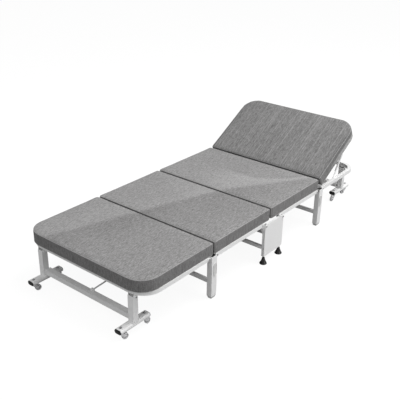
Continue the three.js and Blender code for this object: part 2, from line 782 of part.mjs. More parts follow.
for (const [half, group] of [
  ["head", headHalf],
  ["foot", footHalf],
]) {
  addPart(group, `${half}_inner_frame`, innerFrame(), WHITE_STEEL);
  addPart(group, `${half}_inner_board`, innerBoard(), PLYWOOD);
  const seam = half === "head" ? SEAM_HEAD : SEAM_FOOT;
  addPart(group, `${half}_inner_mattress`, innerPad(seam), GREY_FABRIC);
  addPart(group, `${half}_middle_leg`, middleLeg(), WHITE_STEEL);
  addPart(group, `${half}_link_rod`, linkRod(), WHITE_STEEL);
  addPart(group, `${half}_end_leg`, endLeg(), WHITE_STEEL);
  for (const [label, s] of [
    ["left", 1],
    ["right", -1],
  ]) {
    addPart(group, `${half}_leg_tip_${label}`, legTip(), WHITE_PLASTIC).scale.y = s;
    addPart(group, `${half}_leg_keeper_${label}`, keeperPlate(), WHITE_PLASTIC).scale.y = s;
    addPart(group, `${half}_rail_plug_${label}`, railPlug(), BLACK_PLASTIC).scale.y = s;
  }
}

addPart(footHalf, "foot_frame", endFrame(FOOT_SLATS), WHITE_STEEL);
addPart(footHalf, "foot_board", endBoard(), PLYWOOD);
addPart(footHalf, "foot_mattress", footPad(), GREY_FABRIC);
addPart(headHalf, "head_frame", headFrame(), WHITE_STEEL);

addPart(backrest, "backrest_frame", backrestFrame(), WHITE_STEEL);
addPart(backrest, "backrest_board", backrestBoard(), PLYWOOD);
addPart(backrest, "backrest_mattress", backrestPad(), GREY_FABRIC);

// Both bars of a strut lie on the line between its two pivots.
const strutTop = new THREE.Vector2(
  HINGE_X + STRUT_U.a * Math.cos(TILT) - STRUT_U.b * Math.sin(TILT),
  HINGE_Z + STRUT_U.a * Math.sin(TILT) + STRUT_U.b * Math.cos(TILT),
);
const strutAngle = Math.atan2(strutTop.y - STRUT_L.z, strutTop.x - STRUT_L.x);
for (const [label, s] of [
  ["left", 1],
  ["right", -1],
]) {
  const lower = addPart(bed, `strut_lower_${label}`, strutBar(STRUT_LOW), WHITE_STEEL);
  lower.position.set(STRUT_L.x, 0, STRUT_L.z);
  lower.rotation.y = -strutAngle;
  lower.scale.y = s;
  const upper = addPart(bed, `strut_upper_${label}`, strutBar(STRUT_UP), WHITE_STEEL);
  upper.position.set(strutTop.x, 0, strutTop.y);
  upper.rotation.y = Math.PI - strutAngle;
  upper.scale.y = s;
}

// Castors, each swivelled its own way. Yaw is counted from +X.
const outboard = END_PIVOT + CASTOR_SPREAD;
const inboard = END_PIVOT - CASTOR_SPREAD;
const castors = [
  ["foot_outer_right", -outboard, -1, -10],
  ["foot_outer_left", -outboard, 1, -10],
  ["foot_inner_right", -inboard, -1, 5],
  ["foot_inner_left", -inboard, 1, 30],
  ["head_inner_right", inboard, -1, 185],
  ["head_inner_left", inboard, 1, 175],
  ["head_outer_right", outboard, -1, 170],
  ["head_outer_left", outboard, 1, 160],
];
for (const [label, x, sy, yaw] of castors) {
  for (const [kind, make, look] of [
    ["castor_fork", castorFork, CLEAR_PLASTIC],
    ["castor_wheel", castorWheel, CLEAR_PLASTIC],
  ]) {
    const part = addPart(bed, `${kind}_${label}`, make(), look);
    part.position.set(x, sy * FOOT_RAIL.y, 0);
    part.rotation.z = THREE.MathUtils.degToRad(yaw);
  }
}

export default bed;
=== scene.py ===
"""Looks for a four-section folding guest bed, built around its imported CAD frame.

Metres, +Z up, +X to the head end, -Y the side nearer the camera. Places come from the frame's nodes and
joints; the sizes named here belong to details that only the visual model has.
"""

import json
import math

import bpy
import numpy as np
from mathutils import Matrix, Vector
from mathutils.bvhtree import BVHTree

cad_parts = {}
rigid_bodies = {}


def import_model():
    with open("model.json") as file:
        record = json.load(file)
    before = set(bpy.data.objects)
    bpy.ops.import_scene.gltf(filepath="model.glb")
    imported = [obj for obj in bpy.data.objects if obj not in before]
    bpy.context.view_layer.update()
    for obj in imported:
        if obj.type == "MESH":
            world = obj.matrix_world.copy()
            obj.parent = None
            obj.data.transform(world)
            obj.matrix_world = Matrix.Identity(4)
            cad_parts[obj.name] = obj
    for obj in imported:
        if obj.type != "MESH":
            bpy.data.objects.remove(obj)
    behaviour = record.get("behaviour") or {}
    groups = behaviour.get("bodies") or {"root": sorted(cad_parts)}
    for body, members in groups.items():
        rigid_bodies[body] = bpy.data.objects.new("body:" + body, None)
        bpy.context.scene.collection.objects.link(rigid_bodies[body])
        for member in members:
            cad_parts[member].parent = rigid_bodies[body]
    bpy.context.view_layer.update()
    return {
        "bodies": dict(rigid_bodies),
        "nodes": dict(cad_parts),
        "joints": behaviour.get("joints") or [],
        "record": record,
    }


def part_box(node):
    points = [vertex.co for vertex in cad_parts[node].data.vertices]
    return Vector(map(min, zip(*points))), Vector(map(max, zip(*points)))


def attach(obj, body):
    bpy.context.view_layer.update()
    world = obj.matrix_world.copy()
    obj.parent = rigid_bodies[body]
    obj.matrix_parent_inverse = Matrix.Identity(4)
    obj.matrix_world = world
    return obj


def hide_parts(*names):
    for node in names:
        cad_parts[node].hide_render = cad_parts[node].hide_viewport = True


MM = 0.001

# Camera: the view of the bed from beyond its foot, above its near side.
CAMERA_AT = Vector((-2.4955, -1.9303, 1.7119))
CAMERA_HEADING = 38.913  # degrees from +X towards +Y
CAMERA_DOWN = 25.483
CAMERA_ROLL = 0.745
CAMERA_LENS = 59.06
CAMERA_SENSOR = 36.0

# Soft lights: name, place, what each points at, size in metres and watts.
LIGHTS = [
    ("key", (1.4, -1.8, 4.4), (0, 0, 0.2), 3.2, 184),
    ("side_fill", (0.4, -4.6, 1.9), (0, 0, 0.2), 2.4, 40),
    ("foot_fill", (-4.6, -1.4, 1.0), (0, 0, 0.2), 1.6, 6),
    ("foot_sky", (-2.9, -0.8, 3.6), (-0.7, 0, 0.1), 2.0, 23),
]
WORLD_LIGHT = 0.4
FLOOR_HALF = 40.0
FLOOR_DROP = 0.4 * MM  # keeps the floor clear of the faces that stand on it

# Mattress pads. A pad is drawn a little small, and the simulated cover swells it to size.
PAD_CORNER = 95 * MM  # plan radius at the foot and head corners
PAD_OVERHANG = 5 * MM  # how far the soft sides stand out over the CAD foam
PAD_FOOT_OVERHANG = 2 * MM
PAD_HEAD_OVERHANG = 8 * MM
PAD_SAG = 0.8 * MM  # the cover settles this far over the rails' rounded edges
PAD_EDGE = 4 * MM
PAD_FLAT = 4 * MM  # drawn this much deeper, then pressed flat underneath, which keeps that edge crisp
PAD_SHRINK = 1 * MM
PAD_SWELL = 3.5 * MM
PAD_SMALL_CORNER = 7 * MM
PAD_GAP = 4.5 * MM
BACK_SEED = 7  # of the backrest pad's waves; the level pads count from 0
MIDDLE_SEAM = -11 * MM  # the middle seam sits this far to the foot side of the stand's centre
BACK_START = 19.5 * MM  # inner end of the backrest pad, from its hinge
VOXEL = 7 * MM
CLOTH_FRAMES = 20
CLOTH_PRESSURE = 4.0
WELT_R = 1.1 * MM
CORD_STEP = 6 * MM
WAVE_HEIGHT = 0.9 * MM
WAVE_LENGTHS = (0.11, 0.3)
LIGHT_BAND = 1.9  # how much lighter the backrest's sides are low down
BAND_FROM = (0.05, 0.3)  # the light band comes in over this distance from the hinge
PAINTED_RIM_SPAN = (340 * MM, 378 * MM)  # painted shade: over this |y| the backrest's face darkens by the tone below, for the shade where it rounds over its edges
PAINTED_RIM_SHADE = 0.7

# Bolt heads: how far the outer face of a CAD head stands off the piece it holds.
LEG_HEAD = 4 * MM
HANGER_HEAD = 5.6 * MM
BOLT_HEAD_R = 3.6 * MM

# Black inserts in the open tops of the middle legs: x each way from the leg's middle, |y| and top.
LEG_PLUG_HALF = 16.5 * MM
LEG_PLUG_IN = 361.5 * MM
LEG_PLUG_OUT = 385.5 * MM
LEG_PLUG_TOP = 222 * MM
LEG_PLUG_HIGH = 10 * MM

# Weld beads: where a cross bar meets a leg (|x|, |y|, z), half the bar's depth and height, bead radius.
LEG_WELD_AT = (470 * MM, 359.7 * MM, 79 * MM)
LEG_WELD_HALF = (9 * MM, 8 * MM)
END_WELD_AT = (891 * MM, 275.7 * MM, 78 * MM)
END_WELD_HALF = (12 * MM, 15 * MM)
BEAD_R = 1.1 * MM
BEAD_RIPPLE = 0.25 * MM

# Painted light and shade in broad swathes on the pads, in bed metres: the main line is
# y + slope x = offset, steeper beyond x = 0.
PAINTED_SWATHE_SLOPE = 0.32
PAINTED_SWATHE_STEEPER = 0.3
PAINTED_SWATHE_OFFSET = 0.06
PAINTED_SWATHE_MAIN = {"soft": 0.014, "reach": 0.26, "depth": 0.13}
# The second line is a parabola that starts at (x, y) and curves away towards the near side. It fades
# out from the middle of the bed to the y of the fade setting below.
PAINTED_SWATHE_START = (0.235, -0.04)
PAINTED_SWATHE_CURVE = 2.9
PAINTED_SWATHE_FADE = 0.16
PAINTED_SWATHE_SECOND = {"soft": 0.01, "reach": 0.16, "depth": 0.11}
WEAVE_PITCH = 1.4 * MM

# Heather pattern, in noise cells a metre along x, y and z; threads and slubs on the tops, then on
# the sides.
FINE_THREADS = ((60.0, 420.0, 60.0), (420.0, 420.0, 60.0))
SLUBS = ((48.0, 170.0, 48.0), (180.0, 180.0, 26.0))
FLECKS = 240.0
STREAKS = (1.6, 120.0, 1.6)

# Levelling feet, from the floor up: top of the rim, of the cone and of the collar, and the lock nut.
CONE_RIM = 4.6 * MM
CONE_TOP = 23 * MM
CONE_TOP_R = 9.4 * MM
CONE_HOLLOW = 0.5 * MM
COLLAR_TOP = 29 * MM
THREAD_FROM = 28 * MM
THREAD_PITCH = 1.5 * MM
THREAD_R = (4.1 * MM, 4.8 * MM)
LOCK_NUT = {"z": 29.2 * MM, "r": 8 * MM, "high": 5 * MM}

STEEL_EDGE = 1.1 * MM  # rounding of the CAD nodes' edges
SHEET_EDGE = 0.5 * MM  # the same on thin sheet and bars
ROUND = 40  # steps round a turned shape

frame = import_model()
nodes = frame["nodes"]
joints = {j["name"]: j for j in frame["joints"]}
scene = bpy.context.scene


# ---------------------------------------------------------------- building meshes
def look_along(origin, direction):
    """Placement whose local Z runs along direction, from origin."""
    turn = Vector(direction).to_track_quat("Z", "Y").to_matrix().to_4x4()
    return Matrix.Translation(Vector(origin)) @ turn


def arc(cx, cy, r, start, end, steps):
    """Points on an arc, angles in degrees."""
    angles = np.radians(np.linspace(start, end, steps + 1))
    return [(cx + r * math.cos(a), cy + r * math.sin(a)) for a in angles]


def capsule(x0, y0, r0, x1, y1, r1, steps=12):
    """Outline of two discs and their common tangents, anticlockwise."""
    along = math.atan2(y1 - y0, x1 - x0)
    lean = math.acos((r0 - r1) / math.hypot(x1 - x0, y1 - y0))
    a, b = math.degrees(along - lean), math.degrees(along + lean)
    return arc(x1, y1, r1, a, b, steps) + arc(x0, y0, r0, b, a + 360, steps)


def regular(sides, r):
    return arc(0, 0, r, 0, 360, sides)[:-1]


class Build:
    """Collects closed shells into one mesh; slot is the number of a shell's material."""

    def __init__(self):
        self.verts, self.faces, self.slots = [], [], []

    def add(self, verts, faces, place=None, slot=0):
        base = len(self.verts)
        place = place or Matrix.Identity(4)
        self.verts += [tuple(place @ Vector(v)) for v in verts]
        self.faces += [[base + i for i in f] for f in faces]
        self.slots += [slot] * len(faces)

    def lathe(self, profile, place, slot=0, steps=ROUND):
        """A profile of (radius, height) turned about local Z. A radius of 0 makes a pole."""
        verts, rings = [], []
        for r, h in profile:
            start = len(verts)
            count = 1 if r < 1e-9 else steps
            for i in range(count):
                a = 2 * math.pi * i / steps
                verts.append((r * math.cos(a), r * math.sin(a), h))
            rings.append([start + i % count for i in range(steps)])
        faces = []
        for low, high in zip(rings, rings[1:]):
            for i in range(steps):
                j = (i + 1) % steps
                face = [low[i], low[j], high[j], high[i]]
                faces.append(list(dict.fromkeys(face)))
        if profile[0][0] > 1e-9 and profile[0] != profile[-1]:
            faces.append(rings[0][::-1])
            faces.append(rings[-1])
        self.add(verts, [f for f in faces if len(f) > 2], place, slot)

    def prism(self, outline, low, high, edge=0.0, place=None, slot=0, steps=3):
        """A convex outline raised from low to high, its end edges rounded to radius edge."""
        pts = np.array(outline, float)
        before, after = pts - np.roll(pts, 1, 0), np.roll(pts, -1, 0) - pts
        out = []
        for d in (before, after):
            n = np.stack([d[:, 1], -d[:, 0]], 1)
            out.append(n / np.linalg.norm(n, axis=1, keepdims=True))
        mitre = out[0] + out[1]
        mitre /= np.maximum((mitre * out[0]).sum(1, keepdims=True), 0.3)
        levels = []
        bends = steps if edge > 0 else 0
        for i in range(bends + 1):
            a = math.pi / 2 * i / max(bends, 1)
            levels.append((edge * (1 - math.sin(a)), low + edge * (1 - math.cos(a))))
        levels += [(inset, high + low - z) for inset, z in reversed(levels)]
        verts, count = [], len(pts)
        for inset, z in levels:
            verts += [(x, y, z) for x, y in pts - mitre * inset]
        faces = [list(range(count))[::-1]]
        for k in range(len(levels) - 1):
            for i in range(count):
                j = (i + 1) % count
                faces.append(
                    [k * count + i, k * count + j, (k + 1) * count + j, (k + 1) * count + i]
                )
        faces.append([len(verts) - count + i for i in range(count)])
        self.add(verts, faces, place, slot)

    def loop_tube(self, path, radius, sides=8, slot=0):
        """A tube round a closed path of points."""
        pts = np.array(path, float)
        along = np.roll(pts, -1, 0) - np.roll(pts, 1, 0)
        along /= np.linalg.norm(along, axis=1, keepdims=True)
        normal = np.cross(along, pts - pts.mean(0))
        plane = normal.sum(0)
        plane /= np.linalg.norm(plane)
        side = np.cross(along, plane)
        side /= np.linalg.norm(side, axis=1, keepdims=True)
        up = np.cross(side, along)
        verts, faces, count = [], [], len(pts)
        for i in range(count):
            for k in range(sides):
                a = 2 * math.pi * k / sides
                verts.append(pts[i] + radius * (math.cos(a) * side[i] + math.sin(a) * up[i]))
        for i in range(count):
            j = (i + 1) % count
            for k in range(sides):
                m = (k + 1) % sides
                faces.append([i * sides + k, j * sides + k, j * sides + m, i * sides + m])
        self.add(verts, faces, None, slot)

    def object(self, name, materials, crease=40):
        mesh = bpy.data.meshes.new(name)
        mesh.from_pydata(self.verts, [], self.faces)
        for m in materials:
            mesh.materials.append(m)
        mesh.polygons.foreach_set("material_index", self.slots)
        mesh.polygons.foreach_set("use_smooth", [True] * len(self.faces))
        mesh.set_sharp_from_angle(angle=math.radians(crease))
        mesh.update()
        obj = bpy.data.objects.new(name, mesh)
        scene.collection.objects.link(obj)
        return obj


def applied(obj):
    """Puts the object's evaluated mesh in place of its own, and drops its modifiers."""
    bpy.context.view_layer.update()
    graph = bpy.context.evaluated_depsgraph_get()
    mesh = bpy.data.meshes.new_from_object(obj.evaluated_get(graph))
    obj.modifiers.clear()
    obj.data = mesh
    return obj


def coords(mesh):
    co = np.empty(len(mesh.vertices) * 3, np.float32)
    mesh.vertices.foreach_get("co", co)
    return co.reshape(-1, 3).astype(float)


def set_coords(mesh, co):
    mesh.vertices.foreach_set("co", co.astype(np.float32).ravel())
    mesh.update()


def smoothstep(value, low, high):
    t = np.clip((value - low) / (high - low), 0, 1)
    return t * t * (3 - 2 * t)


# ---------------------------------------------------------------- materials
class Tree:
    """Short spelling for the node tree of one material."""

    def __init__(self, name):
        self.material = bpy.data.materials.new(name)
        self.material.use_nodes = True
        self.tree = self.material.node_tree
        self.bsdf = self.tree.nodes["Principled BSDF"]

    def put(self, kind, inputs=None, out=0, **settings):
        node = self.tree.nodes.new("ShaderNode" + kind)
        for key, value in settings.items():
            setattr(node, key, value)
        for key, value in (inputs or {}).items():
            self.plug(node.inputs[key], value)
        return node.outputs[out]

    def plug(self, socket, value):
        if isinstance(value, bpy.types.NodeSocket):
            self.tree.links.new(value, socket)
        elif socket.type == "RGBA" and len(value) == 3:
            socket.default_value = (*value, 1)
        else:
            socket.default_value = value

    def set(self, **inputs):
        for key, value in inputs.items():
            self.plug(self.bsdf.inputs[key.replace("_", " ")], value)

    def place(self):
        return self.put("TexCoord", out="Object")

    def attribute(self, name):
        return self.put("Attribute", out="Vector", attribute_name=name)

    def scaled(self, vector, scale):
        return self.put("VectorMath", {0: vector, 1: scale}, operation="MULTIPLY")

    def noise(self, vector, scale=1.0, detail=2.0):
        return self.put("TexNoise", {"Vector": vector, "Scale": scale, "Detail": detail})

    def math(self, operation, a, b=0.0):
        return self.put("Math", {0: a, 1: b}, operation=operation)

    def remap(self, value, from_low, from_high, low, high, smooth=False):
        kind = "SMOOTHSTEP" if smooth else "LINEAR"
        spans = {0: value, 1: from_low, 2: from_high, 3: low, 4: high}
        return self.put("MapRange", spans, interpolation_type=kind)

    def mix(self, factor, a, b):
        return self.put("Mix", {0: factor, 6: a, 7: b}, out=2, data_type="RGBA")

    def blend(self, factor, a, b):
        return self.put("Mix", {0: factor, 2: a, 3: b}, out=0)

    def bump(self, height, strength, distance):
        spec = {"Height": height, "Strength": strength, "Distance": distance}
        self.set(Normal=self.put("Bump", spec))


def powder_coat():
    """Satin white powder coat: faint orange peel and a slightly uneven sheen."""
    t = Tree("powder_coat_white")
    at = t.place()
    drift = t.noise(at, 5.0, 3.0)
    peel = t.noise(at, 900.0, 1.0)
    t.set(Base_Color=t.mix(drift, (0.84, 0.84, 0.84), (0.88, 0.88, 0.88)))
    t.set(Roughness=t.remap(t.noise(at, 60.0), 0.3, 0.7, 0.36, 0.48))
    t.set(Coat_Weight=0.15, Coat_Roughness=0.3)
    t.bump(peel, 0.12, 0.3 * MM)
    return t.material


def white_plastic():
    t = Tree("moulded_white")
    at = t.place()
    t.set(Base_Color=t.mix(t.noise(at, 14.0), (0.64, 0.64, 0.64), (0.72, 0.72, 0.71)))
    t.set(Roughness=t.remap(t.noise(at, 120.0), 0.3, 0.7, 0.42, 0.56))
    t.bump(t.noise(at, 1600.0, 1.0), 0.15, 0.2 * MM)
    return t.material


def black_plastic():
    """Glossy black moulding, a little scuffed."""
    t = Tree("moulded_black")
    at = t.place()
    scuff = t.remap(t.noise(at, 55.0, 5.0), 0.5, 0.75, 0.0, 1.0)
    t.set(Base_Color=t.mix(scuff, (0.009, 0.009, 0.009), (0.022, 0.022, 0.022)))
    t.set(Roughness=t.remap(scuff, 0.0, 1.0, 0.24, 0.42))
    t.bump(t.noise(at, 700.0, 1.0), 0.08, 0.2 * MM)
    return t.material


def milky_plastic(name, dark, light):
    """Translucent grey plastic of the castors, cloudy inside."""
    t = Tree(name)
    at = t.place()
    cloud = t.noise(at, 70.0, 3.0)
    t.set(Base_Color=t.mix(cloud, dark, light))
    t.set(Roughness=t.remap(cloud, 0.3, 0.7, 0.22, 0.38))
    t.set(Transmission_Weight=0.12, IOR=1.46, Coat_Weight=0.2)
    t.bump(t.noise(at, 500.0), 0.1, 0.2 * MM)
    return t.material


def plated_steel(name, dark, light):
    """Plated bolts and nuts, with a fine grain from handling."""
    t = Tree(name)
    at = t.place()
    grain = t.noise(t.scaled(at, (900.0, 900.0, 120.0)), 1.0, 3.0)
    t.set(Base_Color=t.mix(grain, dark, light))
    t.set(Metallic=0.9, Roughness=t.remap(grain, 0.3, 0.7, 0.3, 0.5))
    t.bump(grain, 0.1, 0.1 * MM)
    return t.material


def plywood():
    """Plywood board coloured dark as painted shade for the seams between the pads where it shows: long
    face grain, and thin plies on its edges, darker still as painted shade.
    """
    t = Tree("plywood")
    at = t.place()
    grain = t.noise(t.scaled(at, (9.0, 160.0, 9.0)), 1.0, 6.0)
    ply = t.put("TexWave", {"Vector": at, "Scale": 130.0}, out="Fac", bands_direction="Z")
    face = t.mix(t.remap(grain, 0.35, 0.65, 0.0, 1.0), (0.05, 0.04, 0.03), (0.12, 0.1, 0.08))
    up = t.put("SeparateXYZ", {0: t.put("NewGeometry", out="Normal")}, out=2)
    flat = t.remap(t.math("ABSOLUTE", up), 0.4, 0.6, 0.0, 1.0)
    # Edge and face colours are both dark as painted shade in the seams between the pads.
    t.set(Base_Color=t.mix(flat, t.mix(ply, (0.03, 0.025, 0.02), (0.08, 0.068, 0.055)), face))
    t.set(Roughness=t.remap(grain, 0.0, 1.0, 0.6, 0.8))
    t.bump(grain, 0.2, 0.3 * MM)
    return t.material


def swathe_step(t, distance, line):
    """Painted light on the positive side of a line and painted shade on the other, dying away with
    distance from it.
    """
    step = t.math("TANH", t.math("DIVIDE", distance, line["soft"]))
    away = t.math("DIVIDE", t.math("ABSOLUTE", distance), -line["reach"])
    return t.math("MULTIPLY", step, t.math("EXPONENT", away))


def swathes(t, at):
    """Painted light and shade in broad swathes on the level pads: one long line runs slantwise over them
    all, and a second curves across the head end of the last one, leaving a painted light wedge between the
    two."""
    split = t.put("SeparateXYZ", {0: at}).node.outputs
    x, y = split[0], split[1]
    beyond = t.math("MULTIPLY", t.math("MAXIMUM", x, 0.0), PAINTED_SWATHE_STEEPER)
    slant = t.math("ADD", t.math("MULTIPLY", x, PAINTED_SWATHE_SLOPE), beyond)
    main = t.math("ADD", t.math("ADD", y, slant), PAINTED_SWATHE_OFFSET)
    start_x, start_y = PAINTED_SWATHE_START
    bend = t.math("MAXIMUM", t.math("SUBTRACT", start_y, y), 0.0)
    curve = t.math("MULTIPLY", t.math("MULTIPLY", bend, bend), PAINTED_SWATHE_CURVE)
    second = t.math("SUBTRACT", t.math("ADD", curve, start_x), x)
    near_it = t.remap(y, 0.0, PAINTED_SWATHE_FADE, 1.0, 0.0, smooth=True)
    first = t.math("MULTIPLY", swathe_step(t, main, PAINTED_SWATHE_MAIN), PAINTED_SWATHE_MAIN["depth"])
    depth = t.math("MULTIPLY", near_it, PAINTED_SWATHE_SECOND["depth"])
    other = t.math("MULTIPLY", swathe_step(t, second, PAINTED_SWATHE_SECOND), depth)
    return t.math("ADD", first, other)


def fabric(name, dark, light, contrast=1.0, painted_side_shade=1.0, painted_swathes=False, streaked=False, band=None):
    """Heather woven cover. Its threads run along the bed on top and upright round the sides, and the
    pattern is tied to the cover through stored points, so it stays put when the bed folds. A band is
    the height under which the sides turn light, away from the hinge end. The sides' colour is scaled
    by a factor that is painted shade, darker than the tops where less light falls on them."""
    t = Tree(name)
    at, facing = t.attribute("rest_co"), t.attribute("rest_n")
    tilt = t.math("ABSOLUTE", t.put("SeparateXYZ", {0: facing}, out=2))
    flat = t.remap(tilt, 0.5, 0.85, 0.0, 1.0, smooth=True)

    def threads(on_top, on_side, detail):
        top = t.noise(t.scaled(at, on_top), 1.0, detail)
        side = t.noise(t.scaled(at, on_side), 1.0, detail)
        return t.blend(flat, side, top)

    fine = threads(*FINE_THREADS, 1.0)
    slub = threads(*SLUBS, 3.0)
    fleck = t.noise(at, FLECKS, 2.0)
    weave = t.math("ADD", t.math("MULTIPLY", slub, 0.32), t.math("MULTIPLY", fine, 0.3))
    weave = t.math("ADD", weave, t.math("MULTIPLY", fleck, 0.38))
    spread = t.blend(flat, 2.2 * contrast, 2.6 * contrast)
    tone = t.math("MULTIPLY", t.math("SUBTRACT", weave, 0.5), spread)
    drift = t.remap(t.noise(at, 3.2, 1.0), 0.3, 0.7, -0.035, 0.035, smooth=True)
    tone = t.math("ADD", tone, drift)
    # Painted light and shade in broad swathes, on the tops only.
    if painted_swathes:
        tone = t.math("ADD", tone, t.math("MULTIPLY", swathes(t, at), flat))
    if streaked:
        long = t.noise(t.scaled(at, STREAKS), 1.0, 3.0)
        tone = t.math("ADD", tone, t.remap(long, 0.45, 0.7, -0.05, 0.24, smooth=True))
    shade = t.put("Clamp", {0: t.math("ADD", tone, 0.5)})
    if band is not None:
        split = t.put("SeparateXYZ", {0: at}).node.outputs
        under = t.remap(split[2], band - 4 * MM, band + 2 * MM, 1.0, 0.0, smooth=True)
        outer = t.remap(split[0], *BAND_FROM, 0.0, 1.0, smooth=True)
        painted_side_shade = t.blend(t.math("MULTIPLY", under, outer), painted_side_shade, LIGHT_BAND)
        # Painted shade on the backrest's face near its long edges.
        edge = t.remap(t.math("ABSOLUTE", split[1]), *PAINTED_RIM_SPAN, 1.0, PAINTED_RIM_SHADE, smooth=True)
        depth = t.blend(flat, painted_side_shade, edge)
    else:
        depth = t.blend(flat, painted_side_shade, 1.0)
    # depth scales the colour: painted shade on the sides, and on the backrest also painted shade at the
    # rim of its face.
    colour = t.put("VectorMath", {0: t.mix(shade, dark, light), 3: depth}, operation="SCALE")
    t.set(Base_Color=colour, Roughness=0.92)
    t.set(Sheen_Weight=0.12, Sheen_Roughness=0.5, Specular_IOR_Level=0.2)
    # The weave itself, as a fine basket of warp and weft.
    pitch = 2 * math.pi / WEAVE_PITCH
    split = t.put("SeparateXYZ", {0: t.scaled(at, (pitch, pitch, pitch))}).node.outputs
    warp = t.blend(flat, t.math("ADD", split[0], split[1]), split[0])
    weft = t.blend(flat, split[2], split[1])
    basket = t.math("MULTIPLY", t.math("SINE", warp), t.math("SINE", weft))
    height = t.math("ADD", t.math("MULTIPLY", basket, 0.35), t.math("MULTIPLY", fine, 1.3))
    t.bump(height, 0.45, 0.35 * MM)
    return t.material


def shaded_back_cover(band):
    """The backrest's cover: the pads' cloth painted darker as shade on its tilted face, streaked along its
    length, with a light band low on its sides.
    """
    # The pads' cloth colours made darker as painted shade; 0.8 is painted shade on the sides.
    dark, light = (0.078, 0.077, 0.076), (0.34, 0.337, 0.336)
    return fabric("heather_back_cover_shaded", dark, light, 1.0, 0.8, streaked=True, band=band)


def pale_floor():
    """Plain pale floor that takes a faint shadow and gives little light back."""
    t = Tree("pale_floor")
    t.set(Base_Color=(0.8, 0.8, 0.8), Roughness=0.9, Specular_IOR_Level=0.0)
    seen = t.put("LightPath", out="Is Camera Ray")
    glow = t.put("Emission", {0: (1.0, 1.0, 1.0, 1.0), 1: 1.08})
    dull = t.put("BsdfDiffuse", {0: (0.36, 0.36, 0.36, 1.0)})
    shown = t.put("MixShader", {0: 0.86, 1: t.bsdf.outputs[0], 2: glow})
    final = t.put("MixShader", {0: seen, 1: dull, 2: shown})
    t.tree.links.new(final, t.tree.nodes["Material Output"].inputs[0])
    return t.material


WHITE_STEEL = powder_coat()
WHITE_PLASTIC = white_plastic()
BLACK_PLASTIC = black_plastic()
CASTOR_BODY = milky_plastic("castor_body", (0.76, 0.76, 0.77), (0.9, 0.9, 0.91))
CASTOR_TYRE = milky_plastic("castor_tyre", (0.68, 0.68, 0.69), (0.86, 0.86, 0.87))
ZINC = plated_steel("zinc_nut", (0.34, 0.34, 0.35), (0.58, 0.58, 0.59))
BOLT_STEEL = plated_steel("dull_bolt", (0.09, 0.09, 0.092), (0.2, 0.2, 0.205))
PLYWOOD_PAINTED_SHADE = plywood()
# The pads' cover: 0.68 is painted shade on its sides, and True turns on painted light and shade in broad
# swathes on its tops.
COVER = fabric("heather_cover", (0.1, 0.098, 0.097), (0.43, 0.425, 0.425), 1.0, 0.68, True)
# Lighter than the cover: a painted highlight along the pads' edges.
HIGHLIGHT_WELT = fabric("heather_welt_highlight", (0.24, 0.237, 0.236), (0.54, 0.535, 0.535), 0.5)
CAD_LOOKS = {
    "white_steel": WHITE_STEEL,
    "white_plastic": WHITE_PLASTIC,
    "black_plastic": BLACK_PLASTIC,
    "clear_plastic": CASTOR_BODY,
    "plywood": PLYWOOD_PAINTED_SHADE,
    "grey_fabric": COVER,
}


# ---------------------------------------------------------------- the CAD nodes that stay
def dress_cad_node(name, slot):
    """Gives a CAD node its material, and softens its edges with modifiers; its points stay as they are."""
    obj = nodes[name]
    mesh = obj.data
    mesh.materials.clear()
    mesh.materials.append(CAD_LOOKS[slot])
    normals = mesh.attributes.get("custom_normal")
    if normals:
        mesh.attributes.remove(normals)
    mesh.polygons.foreach_set("use_smooth", [True] * len(mesh.polygons))
    weld = obj.modifiers.new("weld", "WELD")
    weld.merge_threshold = 0.005 * MM
    flat = obj.modifiers.new("flat", "DECIMATE")
    flat.decimate_type = "DISSOLVE"
    flat.angle_limit = math.radians(0.5)
    edge = obj.modifiers.new("edge", "BEVEL")
    thin = "cover" in name or "strut" in name or "keeper" in name
    edge.width = SHEET_EDGE if thin else STEEL_EDGE
    edge.segments = 2
    edge.limit_method = "ANGLE"
    edge.angle_limit = math.radians(40)
    edge.harden_normals = True


# ---------------------------------------------------------------- mattress pads
def pad_plan(x0, x1, half, r0, r1):
    """Plan outline, anticlockwise, with corner radius r0 at x0 and r1 at x1."""
    points = []
    for cx, cy, r, start in (
        (x1 - r1, half - r1, r1, 0),
        (x0 + r0, half - r0, r0, 90),
        (x0 + r0, r0 - half, r0, 180),
        (x1 - r1, r1 - half, r1, 270),
    ):
        points += arc(cx, cy, r, start, start + 90, max(4, round(r / (6 * MM))))
    return points


def spaced(outline, step):
    """The closed outline with points no further apart than step."""
    dense = []
    for a, b in zip(outline, outline[1:] + outline[:1]):
        count = max(1, math.ceil(math.dist(a, b) / step))
        for i in range(count):
            dense.append((a[0] + (b[0] - a[0]) * i / count, a[1] + (b[1] - a[1]) * i / count))
    return dense


def simulated(obj):
    """Where the cover's points go when it is sewn round foam that pushes outwards."""
    cloth = obj.modifiers.new("Cloth", "CLOTH")
    cloth.settings.use_pressure = True
    cloth.settings.uniform_pressure_force = CLOTH_PRESSURE
    cloth.settings.effector_weights.gravity = 0
    cloth.settings.quality = 4
    cloth.point_cache.frame_start = 1
    cloth.point_cache.frame_end = CLOTH_FRAMES
    for number in range(1, CLOTH_FRAMES + 1):
        scene.frame_set(number)
    graph = bpy.context.evaluated_depsgraph_get()
    swollen = coords(obj.evaluated_get(graph).data)
    obj.modifiers.remove(cloth)
    scene.frame_set(1)
    return swollen


def waves(co, seed):
    """Broad shallow undulations of a stuffed cover."""
    rng = np.random.default_rng(seed)
    height = np.zeros(len(co))
    for _ in range(6):
        angle, phase = rng.uniform(0, math.pi), rng.uniform(0, 2 * math.pi)
        length = rng.uniform(*WAVE_LENGTHS)
        across = co[:, 0] * math.cos(angle) + co[:, 1] * math.sin(angle)
        height += np.sin(2 * math.pi * across / length + phase) * length
    return height / np.abs(height).max()


